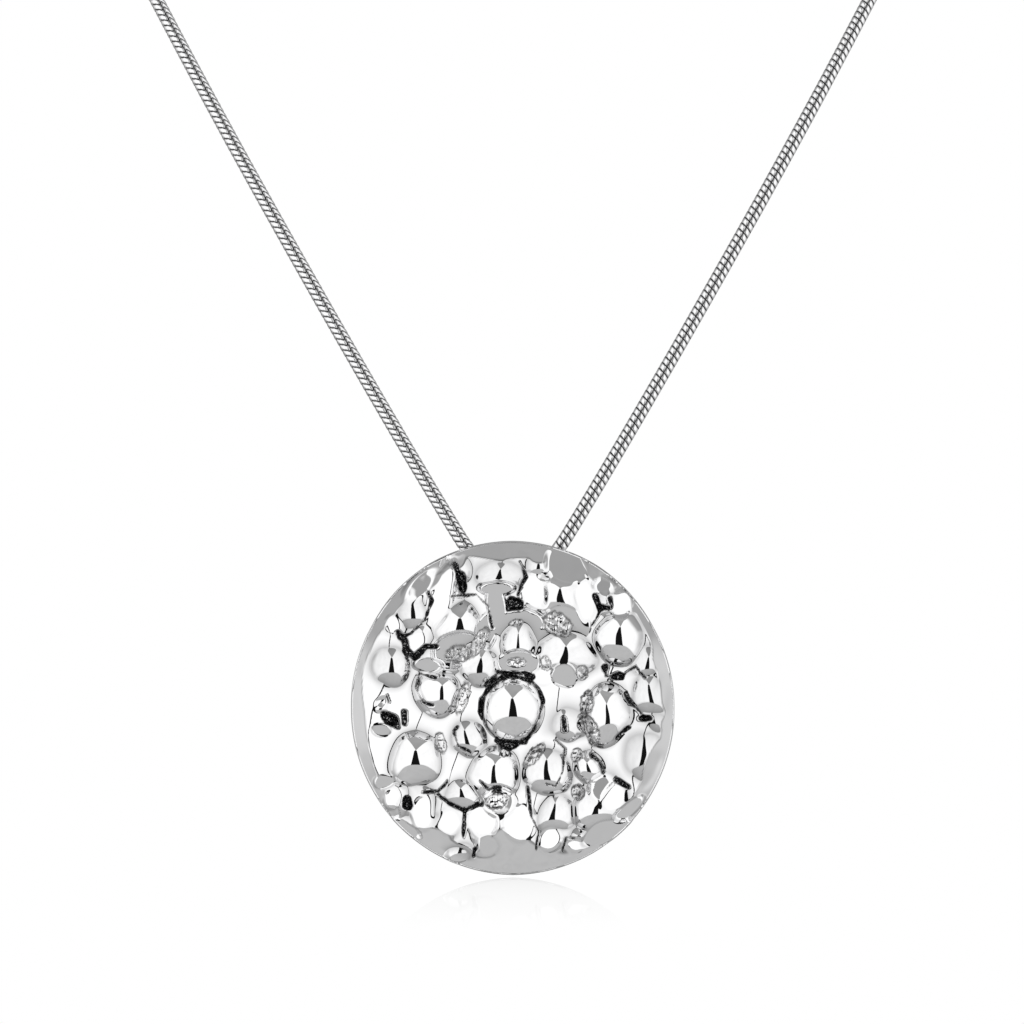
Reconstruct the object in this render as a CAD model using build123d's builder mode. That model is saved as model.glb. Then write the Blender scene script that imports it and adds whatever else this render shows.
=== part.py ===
from build123d import *

import math
import os
from collections import namedtuple

os.makedirs("parts", exist_ok=True)

# All sizes in millimetres. The frame's origin is at the nape, where the necklace hangs on a neck.
# +Z is up, the disc faces -Y, and +X is to the right of whoever looks at the disc.

# Disc: a slightly oval casting with a raised, melted-looking front and a dished back
disc_width = 35.4
disc_height = 36.5
edge_thickness = 1.0
rim_width = 2.5
rim_rise = 1.1
crown_rise = 1.0
back_hollow_radius = 16.1
back_hollow_depth = 2.0

# Chain and what it runs through
chain_diameter = 1.6
chain_length = 450.0
bail_inner_radius = 1.35
bail_wall = 0.75
bail_width = 1.8
bail_drop = 0.35
bail_foot_height = 2.2
bail_foot_depth = 1.3

# Clasp: one plain barrel, with a blind socket at each end for the chain
clasp_length = 11.0
clasp_diameter = 3.2
clasp_edge = 0.5
socket_depth = 2.0
socket_clearance = 0.15
end_clearance = 0.2

# Place of the disc's centre and back plane, seen from the nape
disc_drop = 129.4
disc_forward = 103.2
chain_above_centre = 14.15
chain_behind_back = 1.5

# Rounded bumps of the relief, as balls sunk into the crown.
# x and z are measured from the disc's centre, rise is the height above the crown beneath.
Bump = namedtuple("Bump", "x z radius rise")
BUMPS = [
    Bump(0.0, 0.0, 3.8, 1.50),
    Bump(-10.8, 10.6, 2.9, 1.00),
    Bump(-13.5, 4.5, 2.8, 0.95),
    Bump(-5.9, 9.0, 3.0, 1.15),
    Bump(-1.5, 14.2, 2.8, 0.95),
    Bump(-8.0, 1.7, 2.7, 1.15),
    Bump(-5.0, -3.5, 2.4, 1.05),
    Bump(-2.1, -7.4, 3.1, 1.10),
    Bump(10.4, -1.0, 3.1, 1.25),
    Bump(11.6, 7.7, 3.1, 1.15),
    Bump(15.0, 1.2, 2.6, 0.80),
    Bump(14.1, -5.4, 2.9, 0.95),
    Bump(3.5, -6.9, 3.0, 1.15),
    Bump(9.1, -10.9, 2.7, 1.05),
    Bump(4.4, -10.9, 2.4, 1.00),
    Bump(-1.4, -12.9, 3.4, 1.10),
    Bump(-8.3, -12.4, 2.5, 0.95),
    Bump(-5.7, -9.2, 2.4, 1.05),
    Bump(-10.7, -5.3, 3.3, 1.20),
    Bump(5.0, 12.0, 3.2, 1.15),
    Bump(0.4, 7.5, 2.2, 0.95),
    Bump(5.8, 5.7, 2.6, 1.05),
    Bump(-3.8, 4.5, 2.0, 0.85),
    Bump(-11.9, -0.8, 2.0, 0.90),
    Bump(-14.2, 0.1, 1.7, 0.70),
    Bump(5.6, -1.4, 1.8, 0.80),
    Bump(8.2, -6.0, 1.9, 0.90),
    Bump(11.4, 11.3, 1.9, 0.75),
    Bump(9.3, 11.9, 1.5, 0.80),
    Bump(-5.7, 14.4, 1.7, 0.75),
    Bump(1.7, 15.6, 1.5, 0.60),
    Bump(3.6, 15.5, 1.4, 0.60),
    Bump(2.6, 12.9, 2.1, 0.95),
    Bump(7.3, 11.5, 2.2, 0.95),
    Bump(13.2, 2.7, 2.2, 0.90),
    Bump(8.6, 6.1, 2.1, 0.95),
    Bump(3.9, -14.0, 2.1, 0.75),
    Bump(6.8, -14.0, 1.8, 0.60),
    Bump(-5.4, -14.7, 1.5, 0.55),
    Bump(-12.7, -9.0, 2.2, 0.80),
    Bump(12.6, -9.4, 2.1, 0.75),
    Bump(12.0, -3.9, 2.3, 1.05),
    Bump(-8.2, 12.9, 2.2, 0.90),
    Bump(-8.8, 9.6, 2.0, 0.90),
    Bump(-9.8, 6.6, 2.1, 0.95),
    Bump(-8.9, 4.9, 1.8, 0.95),
    Bump(6.8, -3.6, 2.0, 0.90),
    Bump(6.8, -8.3, 1.9, 0.85),
    Bump(-4.2, 0.9, 2.0, 0.80),
    Bump(4.4, 1.4, 2.0, 0.75),
    Bump(-7.0, -6.1, 2.1, 0.95),
    Bump(-14.2, -3.6, 2.0, 0.75),
    Bump(-3.2, 10.9, 2.1, 0.95),
    Bump(1.4, -4.9, 1.8, 0.75),
    Bump(14.0, 5.2, 2.1, 0.80),
    Bump(15.3, -1.5, 1.7, 0.60),
    Bump(1.6, 10.3, 2.1, 0.90),
    Bump(-3.7, 7.3, 1.9, 0.90),
    Bump(7.9, 2.6, 2.1, 0.90),
    Bump(13.6, 9.0, 1.8, 0.55),
    Bump(-10.5, -9.2, 2.0, 0.90),
    Bump(1.6, -9.7, 1.8, 0.90),
]

# Route of one leg of the chain, from the bail outwards, seen from the disc's centre and back plane.
# The other leg mirrors it. The last point lies in line with the clasp.
LegPoint = namedtuple("LegPoint", "x y z")
LEG = [
    LegPoint(3.0, chain_behind_back, chain_above_centre),
    LegPoint(9.1, 2.1, 24.0),
    LegPoint(20.1, 4.4, 42.9),
    LegPoint(32.7, 8.5, 65.3),
    LegPoint(44.4, 16.5, 87.4),
    LegPoint(55.0, 33.2, 104.6),
    LegPoint(58.8, 54.8, 116.6),
    LegPoint(52.6, 77.6, 124.2),
    LegPoint(36.8, 94.8, 128.1),
    LegPoint(17.2, disc_forward, disc_drop),
]


def from_disc(x, y, z):
    """Turn a place seen from the disc's centre and back plane into the frame's coordinates."""
    return Vector(x, y - disc_forward, z - disc_drop)


def disc_plane(y):
    """Plane parallel to the disc's back at depth y, drawn as the viewer in front sees it."""
    return Plane(origin=from_disc(0, y, 0), x_dir=(1, 0, 0), z_dir=(0, -1, 0))


def ball_radius(chord, rise):
    """Radius of the ball whose cap has this chord radius and this rise."""
    return (chord * chord + rise * rise) / (2 * rise)


# Disc casting
edge_y = -edge_thickness
shoulder_y = edge_y - rim_rise
shoulder_radius = disc_width / 2 - rim_width
crown_radius = ball_radius(shoulder_radius, crown_rise)
crown_centre_y = shoulder_y - crown_rise + crown_radius
hollow_radius = ball_radius(back_hollow_radius, back_hollow_depth)
bail_centre = from_disc(0, chain_behind_back, chain_above_centre - bail_drop)


def crown_y(x, z):
    """Depth of the smooth crown at a place on the disc."""
    return crown_centre_y - math.sqrt(crown_radius**2 - x * x - z * z)


with BuildPart() as pendant_disc:
    with BuildSketch(disc_plane(0)):
        Ellipse(disc_width / 2, disc_height / 2)
    extrude(amount=edge_thickness)
    with BuildSketch(disc_plane(edge_y)):
        Ellipse(disc_width / 2, disc_height / 2)
    with BuildSketch(disc_plane(shoulder_y)):
        Ellipse(shoulder_radius, shoulder_radius + (disc_height - disc_width) / 2)
    loft(ruled=True)
    with BuildSketch(Plane(origin=from_disc(0, 0, 0), x_dir=(1, 0, 0), z_dir=(0, 0, 1))):
        with BuildLine():
            Line((0, edge_y), (shoulder_radius, edge_y))
            Line((shoulder_radius, edge_y), (shoulder_radius, shoulder_y))
            RadiusArc(
                (shoulder_radius, shoulder_y), (0, shoulder_y - crown_rise), crown_radius
            )
            Line((0, shoulder_y - crown_rise), (0, edge_y))
        make_face()
    revolve(axis=Axis(from_disc(0, 0, 0), (0, 1, 0)))
    for bump in BUMPS:
        bump_y = crown_y(bump.x, bump.z) - bump.rise + bump.radius
        with Locations(from_disc(bump.x, bump_y, bump.z)):
            Sphere(bump.radius)

    # The back: everything behind its plane goes, and a shallow round hollow is dished into it
    split(bisect_by=disc_plane(0), keep=Keep.TOP)
    with Locations(from_disc(0, hollow_radius - back_hollow_depth, 0)):
        Sphere(hollow_radius, mode=Mode.SUBTRACT)

    # The bail: a short ring behind the top of the disc, on a foot that is soldered into the hollow
    with BuildSketch(Plane.YZ.offset(-bail_width / 2)):
        with Locations((bail_centre.Y, bail_centre.Z)):
            Circle(bail_inner_radius + bail_wall)
            Circle(bail_inner_radius, mode=Mode.SUBTRACT)
    extrude(amount=bail_width)
    with Locations(bail_centre - Vector(0, bail_inner_radius + bail_foot_depth / 2, 0)):
        Box(bail_width, bail_foot_depth, bail_foot_height)

pendant_disc.part.label = "pendant_disc"

# Snake chain: the whole loop, from one end in the clasp round to the other
end_x = clasp_length / 2 - socket_depth + end_clearance
leg_points = [from_disc(place.x, place.y, place.z) for place in LEG]
leg_points.append(Vector(end_x, leg_points[-1].Y, leg_points[-1].Z))
route_points = [Vector(-p.X, p.Y, p.Z) for p in reversed(leg_points)] + leg_points


def corner_radius(before, corner, after):
    """Radius of the arc at a corner of the route, as large as its two runs allow."""
    run_in = corner - before
    run_out = after - corner
    half_turn = math.radians(run_in.get_angle(run_out)) / 2
    return 0.45 * min(run_in.length, run_out.length) / math.tan(half_turn)


corners = zip(route_points, route_points[1:], route_points[2:])
route_radii = [corner_radius(before, corner, after) for before, corner, after in corners]

with BuildPart() as snake_chain:
    with BuildLine() as route:
        FilletPolyline(*route_points, radius=route_radii)
    route_wire = route.wires()[0]
    with BuildSketch(Plane(origin=route_wire @ 0, z_dir=route_wire % 0)):
        Circle(chain_diameter / 2)
    sweep(path=route_wire)
snake_chain.part.label = "snake_chain"

# Clasp: a plain barrel in line with the chain's two ends
clasp_centre = Vector(0, leg_points[-1].Y, leg_points[-1].Z)
socket_radius = chain_diameter / 2 + socket_clearance

with BuildPart() as clasp:
    with BuildSketch(Plane.YZ.offset(-clasp_length / 2)):
        with Locations((clasp_centre.Y, clasp_centre.Z)):
            Circle(clasp_diameter / 2)
    extrude(amount=clasp_length)
    fillet(clasp.edges().filter_by(GeomType.CIRCLE), clasp_edge)
    for side in (-1, 1):
        with BuildSketch(Plane.YZ.offset(side * (clasp_length / 2 - socket_depth))):
            with Locations((clasp_centre.Y, clasp_centre.Z)):
                Circle(socket_radius)
        extrude(amount=side * socket_depth, mode=Mode.SUBTRACT)
clasp.part.label = "clasp"

export_step(pendant_disc.part, "parts/pendant_disc.step")
export_step(snake_chain.part, "parts/snake_chain.step")
export_step(clasp.part, "parts/clasp.step")

section = math.pi * chain_diameter**2 / 4
print("arc radii along the chain:", [round(radius, 1) for radius in route_radii])
print("loop length:", round(route_wire.length + 2 * end_x, 1), "wanted:", chain_length)
print("chain volume:", round(snake_chain.part.volume, 1), "expected:", round(section * route_wire.length, 1))
print("disc volume:", round(pendant_disc.part.volume, 1), "solids:", len(pendant_disc.solids()))
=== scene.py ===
import math
from collections import namedtuple

import bpy
import numpy as np
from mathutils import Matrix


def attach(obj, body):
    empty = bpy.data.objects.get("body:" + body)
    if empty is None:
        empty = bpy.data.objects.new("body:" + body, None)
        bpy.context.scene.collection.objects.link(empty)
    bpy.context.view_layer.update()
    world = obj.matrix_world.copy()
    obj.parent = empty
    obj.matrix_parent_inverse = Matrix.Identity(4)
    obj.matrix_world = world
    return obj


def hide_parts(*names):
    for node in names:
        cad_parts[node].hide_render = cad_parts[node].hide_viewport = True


bpy.context.scene.view_settings.view_transform = "Standard"

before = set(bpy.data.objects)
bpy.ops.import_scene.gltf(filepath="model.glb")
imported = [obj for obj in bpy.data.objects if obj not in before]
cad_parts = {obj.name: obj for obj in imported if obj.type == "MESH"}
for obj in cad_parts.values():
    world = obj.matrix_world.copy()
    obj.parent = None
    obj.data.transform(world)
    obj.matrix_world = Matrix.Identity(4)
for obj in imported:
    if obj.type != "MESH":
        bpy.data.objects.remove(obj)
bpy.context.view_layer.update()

MM = 0.001
# The relief is written in steps of this size, measured from the disc's centre
STEP = 0.109 * MM

# Place of the disc's centre and back plane, seen from the nape
DISC_Y = -103.2 * MM
DISC_Z = -129.4 * MM
FLOOR_Z = DISC_Z - 18.37 * MM

# ---- Relief of the disc -------------------------------------------------------------

# Places on the disc are counted in steps to the right and down. This is the place of its centre.
CENTRE = (513.0, 709.5)

# Rounded bumps of the melted-looking front. wide, above and below are the radii of curvature to the
# sides, up and down. Each cap stays round up to a share of its radius (shoulder, and further on its
# lower side) and then runs down as a straight flank until it meets its neighbours.
Cap = namedtuple("Cap", "x y wide above below turn rise shoulder")
CAPS = [
    Cap(513, 709.5, 34.7, 34.7, 34.7, 0, 14, 0.95),
    Cap(413.5, 613, 20, 34, 19, 0, 6, 0.78),
    Cap(389.5, 668, 25, 34, 31, 0, 9, 0.78),
    Cap(459, 626.5, 34, 26, 25, 0, 9, 0.75),
    Cap(500, 577, 36, 24, 25, 0, 6.5, 0.72),
    Cap(439.5, 692, 23, 22, 31, 0, 9, 0.78),
    Cap(467, 743, 19, 36, 15, 0, 6, 0.78),
    Cap(494, 778.5, 29, 37, 20, 0, 9, 0.77),
    Cap(608.5, 717, 26, 38, 36, 0, 10, 0.78),
    Cap(619, 638, 28, 29, 36, 0, 10, 0.78),
    Cap(650.5, 698.5, 22, 43, 20, 0, 8, 0.78),
    Cap(643, 758, 25, 47, 39, 0, 8, 0.78),
    Cap(546, 776.5, 27, 41, 20, 0, 9, 0.77),
    Cap(596.5, 813, 30, 38, 18, 0, 7, 0.75),
    Cap(553, 819, 24, 38, 14, 0, 6, 0.75),
    Cap(500, 830.5, 38, 30, 25, 0, 9, 0.70),
    Cap(437.5, 828.5, 27, 32, 18, 0, 6, 0.74),
    Cap(460, 797, 22, 25, 12, 0, 6, 0.77),
    Cap(416, 758.5, 32, 31, 38, 8, 9, 0.76),
    Cap(560, 598.5, 36, 27, 31, 0, 10, 0.70),
    Cap(564, 725, 16, 22, 22, 0, 4, 0.60),
    Cap(588, 768, 16, 16, 16, 0, 3, 0.70),
    Cap(608, 604, 16, 16, 16, 0, 4, 0.70),
    Cap(455, 575, 20, 20, 20, 0, 3, 0.60),
    Cap(537, 564, 16, 16, 16, 0, 3, 0.60),
    Cap(395, 799, 20, 22, 22, 0, 4, 0.60),
    Cap(460, 853, 12, 12, 12, 0, 2, 0.70),
    Cap(552, 838, 22, 18, 18, 0, 4, 0.60),
    Cap(576, 843, 14, 12, 12, 0, 2, 0.60),
    Cap(620, 604, 20, 20, 20, 0, 4, 0.60),
    Cap(648, 664, 20, 22, 22, 0, 5, 0.60),
    Cap(440, 600, 24, 40, 40, -19, 6, 0.50),
    Cap(652, 722, 16, 20, 20, 0, 4, 0.50),
    Cap(421, 640, 24, 30, 30, -20, 3, 0.50),
    Cap(447, 655, 40, 26, 26, 0, 4, 0.40),
    Cap(395, 626, 16, 14, 14, 0, 2, 0.55),
    Cap(610, 795, 30, 34, 34, 0, 4, 0.50),
    Cap(425, 803, 26, 26, 26, 0, 3, 0.50),
]

# Bumps that stand on the terrace and beside it
UPPER_CAPS = [
    Cap(566, 658, 38, 34, 27, 0, 8, 0.72),
    Cap(518, 643, 20, 30, 20, 0, 6, 0.78),
    Cap(479, 666, 21, 24, 27, 0, 7, 0.78),
]

# Gently sloping places between and on the bumps: right and up are how steeply each faces that way
Facet = namedtuple("Facet", "x y wide tall turn right up")

# Those that face sideways or up flow into their surroundings
SOFT_FACETS = [
    Facet(441, 598, 11, 32, -19, -0.25, 0.0),
    Facet(417, 643, 9, 15, -25, -0.25, 0.0),
    Facet(420, 586, 19, 10, 40, -0.1, 0.55),
    Facet(395, 626, 8, 8, 0, -0.3, 0.0),
    Facet(383, 706, 6, 6, 0, 0.0, 0.42),
    Facet(534, 592, 12, 20, 10, -0.3, 0.0),
    Facet(585, 600, 9, 22, 0, 0.3, 0.0),
    Facet(566, 567, 22, 18, -25, 0.03, 0.6),
    Facet(604, 586, 10, 8, 0, 0.0, 0.42),
    Facet(621, 605, 11, 13, -15, 0.3, 0.0),
    Facet(545, 677, 12, 9, 10, -0.3, 0.0),
    Facet(392, 797, 8, 12, -25, -0.3, 0.0),
    Facet(422, 813, 11, 17, 0, -0.25, 0.0),
    Facet(449, 822, 10, 12, 0, 0.3, 0.0),
    Facet(481, 821, 15, 17, 0, -0.28, 0.0),
    Facet(519, 823, 16, 19, 0, 0.28, 0.0),
    Facet(486, 847, 11, 10, 0, 0.0, -0.35),
    Facet(498, 801, 17, 16, 10, 0.0, 0.4),
    Facet(602, 788, 13, 16, -10, 0.0, 0.42),
    Facet(613, 798, 10, 15, -25, 0.3, 0.0),
    Facet(551, 841, 12, 12, 0, -0.25, 0.0),
    Facet(574, 845, 8, 7, 0, 0.3, 0.0),
]

# Those that face the floor end at a clear line
FLOOR_FACETS = [
    Facet(429, 664.5, 14, 7, 8, 0.0, -0.3),
    Facet(380, 731.5, 9, 6.5, 0, 0.0, -0.3),
    Facet(384, 781, 12, 7, 15, 0.0, -0.3),
    Facet(404, 830, 18, 7, -30, 0.0, -0.3),
    Facet(606, 834, 28, 10, 22, 0.0, -0.3),
    Facet(628, 810, 18, 7, 38, 0.1, -0.3),
    Facet(565, 676, 12, 11, 0, 0.0, -0.5),
]

# Parts of the one smooth terrace above the middle, which faces down
TERRACE_SLOPE = -0.255
TERRACE = [
    Facet(498, 590, 18, 7.5, 0, 0.0, TERRACE_SLOPE),
    Facet(497, 603, 9, 17, 8, 0.0, TERRACE_SLOPE),
    Facet(515, 625, 28, 16, 0, 0.0, TERRACE_SLOPE),
    Facet(566, 627, 25, 20, -14, 0.0, TERRACE_SLOPE),
    Facet(543, 638, 24, 10, 0, 0.0, TERRACE_SLOPE),
    Facet(486, 632, 10, 22, -15, 0.0, TERRACE_SLOPE),
    Facet(458, 650, 24, 17, 10, 0.0, TERRACE_SLOPE),
]

# Low bumps on the border slope
RIM_CAPS = [
    Cap(459, 852, 16, 14, 12, 0, -3, 0.80),
]

# The grey oval below the small ball
BALL_FOOT = Facet(518.5, 662, 22.5, 12.5, 0, 0.0, TERRACE_SLOPE)

# Crevices between the bumps, painted near black as shade. The width is from the middle line to either side.
Crevice = namedtuple("Crevice", "width line")
CREVICES = [
    Crevice(2.0, [(505, 675), (490, 688), (482, 699), (480, 712), (487, 727), (497, 739)]),
    Crevice(3.0, [(496, 741), (510, 747), (524, 742)]),
    Crevice(1.3, [(524, 742), (533, 731), (539, 718), (543, 701), (538, 689), (530, 680)]),
    Crevice(2.4, [(499, 672), (510, 674), (524, 673), (532, 678)]),
    Crevice(1.2, [(429, 591), (432, 600), (424, 620), (412, 632), (400, 637)]),
    Crevice(2.2, [(399, 633), (406, 640), (407, 650), (416, 659), (427, 645), (438, 645)]),
    Crevice(1.3, [(434, 676), (421, 675), (417, 690), (422, 702), (430, 703)]),
    Crevice(1.8, [(421, 680), (419, 692)]),
    Crevice(2.6, [(454, 566), (457, 576)]),
    Crevice(5.5, [(459, 578), (462, 589)]),
    Crevice(1.0, [(452, 597), (478, 597), (490, 606), (493, 627)]),
    Crevice(1.3, [(519, 561), (526, 577), (519, 598)]),
    Crevice(4.0, [(512, 603), (519, 604)]),
    Crevice(2.2, [(596, 597), (599, 607), (611, 608), (609, 599)]),
    Crevice(3.4, [(600, 608), (610, 609)]),
    Crevice(1.0, [(598, 611), (592, 625)]),
    Crevice(3.4, [(604, 668), (607, 677), (620, 677)]),
    Crevice(1.2, [(618, 678), (635, 666), (647, 678)]),
    Crevice(1.4, [(625, 692), (634, 706), (642, 718)]),
    Crevice(3.6, [(641, 719), (647, 719)]),
    Crevice(1.2, [(618, 740), (630, 730)]),
    Crevice(1.8, [(617, 781), (629, 788)]),
    Crevice(1.8, [(593, 754), (600, 760), (603, 771)]),
    Crevice(1.0, [(555, 741), (564, 750), (562, 772), (554, 787), (545, 784)]),
    Crevice(1.1, [(527, 789), (530, 815), (539, 832), (536, 850)]),
    Crevice(1.0, [(573, 838), (566, 838), (563, 852)]),
    Crevice(1.3, [(460, 727), (455, 732), (458, 748), (470, 754)]),
    Crevice(1.2, [(480, 780), (488, 788), (500, 786)]),
    Crevice(1.4, [(447, 781), (438, 793), (424, 793)]),
    Crevice(1.5, [(438, 796), (448, 805), (463, 812), (477, 803)]),
    Crevice(1.4, [(463, 812), (462, 838)]),
    Crevice(6.0, [(384, 719), (391, 722)]),
    Crevice(2.2, [(404, 713), (404, 724)]),
    Crevice(3.6, [(405, 799), (407, 805)]),
    Crevice(1.6, [(386, 697), (390, 704)]),
    Crevice(2.2, [(473, 851), (473, 857)]),
    Crevice(2.6, [(563, 719), (563, 729)]),
]

# Small rough dents that sparkle, with painted shade on their outlines and in specks
Pit = namedtuple("Pit", "x y wide tall turn")
PITS = [
    Pit(459, 653, 12, 8, 0),
    Pit(479, 643, 6, 17, -33),
    Pit(515, 622, 7, 3.5, 0),
    Pit(517, 661, 9, 5, 0),
    Pit(557, 626, 15, 11, -25),
    Pit(463, 698, 5.5, 16, -10),
    Pit(452, 709, 5, 4, 0),
    Pit(547, 663, 5, 8, 20),
    Pit(583, 673, 6, 6, 0),
    Pit(587, 703, 7, 12, -10),
    Pit(590, 729, 7, 17, 22),
    Pit(440, 742, 5, 11, 20),
    Pit(534, 757, 6, 15, -40),
    Pit(576, 756, 5, 7, -15),
    Pit(577, 793, 7, 7, 0),
    Pit(495, 800, 12, 7, 10),
    Pit(503, 755, 4, 3, 0),
    Pit(449, 562, 3, 5, 0),
    Pit(490, 681, 7, 4, 0),
]

# Steepness of the border at angles from the right, anticlockwise as the viewer sees it
Border = namedtuple("Border", "angle slope")
BORDER = [
    Border(0, 1.50),
    Border(45, 1.45),
    Border(70, 1.25),
    Border(90, 0.90),
    Border(110, 1.25),
    Border(135, 1.50),
    Border(180, 1.55),
    Border(222, 1.40),
    Border(245, 0.80),
    Border(270, 0.58),
    Border(295, 0.75),
    Border(318, 1.30),
    Border(360, 1.50),
]

# Outline of the disc: its radius at angles from the right, anticlockwise as the viewer sees it
Reach = namedtuple("Reach", "angle radius")
OUTLINE = [
    Reach(0, 162.2),
    Reach(30, 163.2),
    Reach(60, 167.0),
    Reach(90, 168.6),
    Reach(120, 168.2),
    Reach(135, 166.8),
    Reach(150, 164.6),
    Reach(180, 162.8),
    Reach(210, 163.4),
    Reach(240, 165.6),
    Reach(270, 167.4),
    Reach(300, 166.0),
    Reach(330, 163.4),
    Reach(360, 162.2),
]

# Heights above the back plane, in steps
EDGE_HEIGHT = 3.5
CROWN_HEIGHT = 29.0
GROUND = 16.5
FOLD_HEIGHT = 11.0
DISH = 12.5
DISH_START = 0.6
THINNEST_WALL = 3.0

# The crown carries the bumps. At its radius, it and the ground are lower by their fall. The dish ends at
# a radius of its own.
CROWN_RADIUS = 139.0
CROWN_FALL = 7.5
CROWN_SQUEEZE = 0.97
GROUND_FALL = 3.0
FOLD_WIDTH = 46.0
DISH_RADIUS = 150

# How far the outlines of the bumps are bent, and where that starts around the middle bump
BEND = 2.6
BEND_FROM = 30
BEND_FULL = 55

# How softly two surfaces join, how far a junction's shade reaches, and where a cap's lower flank starts
JOIN = 0.7
BORDER_JOIN = 0.4
SHADE_DEPTH = 4.5
LOWER_SHOULDER = 0.93

# Half the width of a slope's edge, and how much edges and junctions are shaded
SOFT_BLUR = 3.0
LINE_BLUR = 1.3
SOFT_SHADE = 0.1
LINE_SHADE = 0.35
FOOT_SHADE = 0.4
JUNCTION_SHADE = 0.45
TERRACE_SHADE = 0.5
BORDER_SHADE = 0.6


def crown(x, y):
    """Height of the smooth crown that the bumps' tops are measured from."""
    r = np.hypot(x - CENTRE[0], (y - CENTRE[1]) * CROWN_SQUEEZE)
    return CROWN_HEIGHT - CROWN_FALL * (r / CROWN_RADIUS) ** 2


def across(x, y, row):
    """Place seen from the middle of an oval, along its two axes. The oval is turned anticlockwise."""
    t = np.radians(row.turn)
    dx, dy = x - row.x, y - row.y
    return dx * np.cos(t) - dy * np.sin(t), dx * np.sin(t) + dy * np.cos(t)


def cap(x, y, row):
    """Height of one rounded bump and its flank."""
    p, q = across(x, y, row)
    b = np.sqrt(row.wide * row.above)
    s = np.sqrt(p * p / (row.wide * b) + q * q / (np.where(q > 0, row.below, row.above) * b))
    down = smooth(0.3, 0.9, q / np.maximum(np.hypot(p, q), 0.1))
    lim = row.shoulder + (max(LOWER_SHOULDER, row.shoulder) - row.shoulder) * down
    inner = b * (np.sqrt(1 - np.minimum(s, lim) ** 2) - 1)
    outer = -b * lim / np.sqrt(1 - lim * lim) * np.maximum(s - lim, 0)
    return crown(np.float64(row.x), np.float64(row.y)) + row.rise + inner + outer


def smax(a, b, k):
    """The larger of two heights, a little more near where they are equal."""
    return np.maximum(a, b) + k * np.log1p(np.exp(-np.abs(a - b) / k))


def smooth(low, high, value):
    """0 at low, 1 at high, smooth between. Low may lie above high."""
    t = np.clip((value - low) / (high - low), 0, 1)
    return t * t * (3 - 2 * t)


def ripples(x, y, size, seed):
    """Smooth random heights between about -1 and 1, with waves of this size."""
    lattice = np.random.default_rng(seed).uniform(-1, 1, (400, 400))
    gx, gy = (x - 300) / size + 3, (y - 500) / size + 3
    ix, iy = np.floor(gx).astype(int), np.floor(gy).astype(int)
    fx, fy = smooth(0, 1, gx - ix), smooth(0, 1, gy - iy)
    upper = lattice[iy, ix] * (1 - fx) + lattice[iy, ix + 1] * fx
    lower = lattice[iy + 1, ix] * (1 - fx) + lattice[iy + 1, ix + 1] * fx
    return upper * (1 - fy) + lower * fy


def smooth_slope(h, shade, x, y, wx, wy, rows, blur, edge_shade):
    """Lays one flat slope over ovals of the surface, at the height that is there.

    wx and wy bend the ovals. blur is half the width of their edge, and edge_shade how shaded it is.
    """
    share = np.zeros_like(h)
    for row in rows:
        p, q = across(wx, wy, row)
        s = np.sqrt((p / row.wide) ** 2 + (q / row.tall) ** 2)
        edge = blur / min(row.wide, row.tall)
        share = np.maximum(share, smooth(1 + edge, 1 - edge, s))
    slope = -rows[0].right * (x - rows[0].x) + rows[0].up * (y - rows[0].y)
    level = ((h - slope) * share).sum() / share.sum()
    shade = np.maximum(shade * (1 - share), edge_shade * 4 * share * (1 - share))
    return h + (level + slope - h) * share, shade


def line_distance(x, y, line):
    """Distance to a line of straight runs."""
    nearest = np.full(np.shape(x), 1e9)
    for (ax, ay), (bx, by) in zip(line, line[1:]):
        dx, dy = bx - ax, by - ay
        t = np.clip(((x - ax) * dx + (y - ay) * dy) / (dx * dx + dy * dy), 0, 1)
        nearest = np.minimum(nearest, np.hypot(x - ax - t * dx, y - ay - t * dy))
    return nearest


def rim_height(x, y, edge_distance):
    """The smooth border slope. Its inner edge wanders, because its steepness does."""
    turn = np.arctan2(CENTRE[1] - y, x - CENTRE[0])
    wander = 0.7 * np.sin(5 * turn + 0.6) + 0.4 * np.sin(11 * turn + 2.1) + 0.3 * np.sin(17 * turn)
    angles, slopes = zip(*BORDER)
    slope = np.interp(np.degrees(turn) % 360, angles, slopes)
    lobes = 2.1 * ripples(x, y, size=19, seed=15) * smooth(1, 12, edge_distance)
    return EDGE_HEIGHT + slope * (1 + 0.10 * wander) * edge_distance + lobes


def valley_floor(x, y):
    """Ground between the bumps: folded, so that no part of it faces the viewer squarely."""
    along = x + 0.25 * y + 5 * ripples(x, y, size=50, seed=13)
    fold = np.abs((along / FOLD_WIDTH) % 2 - 1)
    r = np.hypot(x - CENTRE[0], y - CENTRE[1])
    return GROUND - GROUND_FALL * (r / CROWN_RADIUS) ** 2 + FOLD_HEIGHT * fold


def raise_caps(h, shade, x, y, rows):
    """Sets caps on the surface. The shade is 1 where two slopes meet and fades away from there."""
    for row in rows:
        top = cap(x, y, row)
        shade = np.maximum(shade * (h > top), np.exp(-np.abs(h - top) / SHADE_DEPTH))
        h = smax(h, top, JOIN)
    return h, shade


def cut_crevices(h, x, y, wx, wy, grain):
    """Cuts the crevices, rough at their bottoms, and says how dark each place is painted, as shade."""
    dark = np.zeros_like(h)
    for row in CREVICES:
        wander = 0.9 * row.width * ripples(x, y, size=11, seed=14)
        away = line_distance(wx, wy, row.line) + wander
        inside = smooth(row.width + 0.8, 0, away)
        h = h + inside * (0.5 * grain - 1.0 - 0.8 * row.width)
        dark = np.maximum(dark, smooth(row.width + 0.6, row.width - 0.4, away + 0.5 * grain))
    return h, dark


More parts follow.
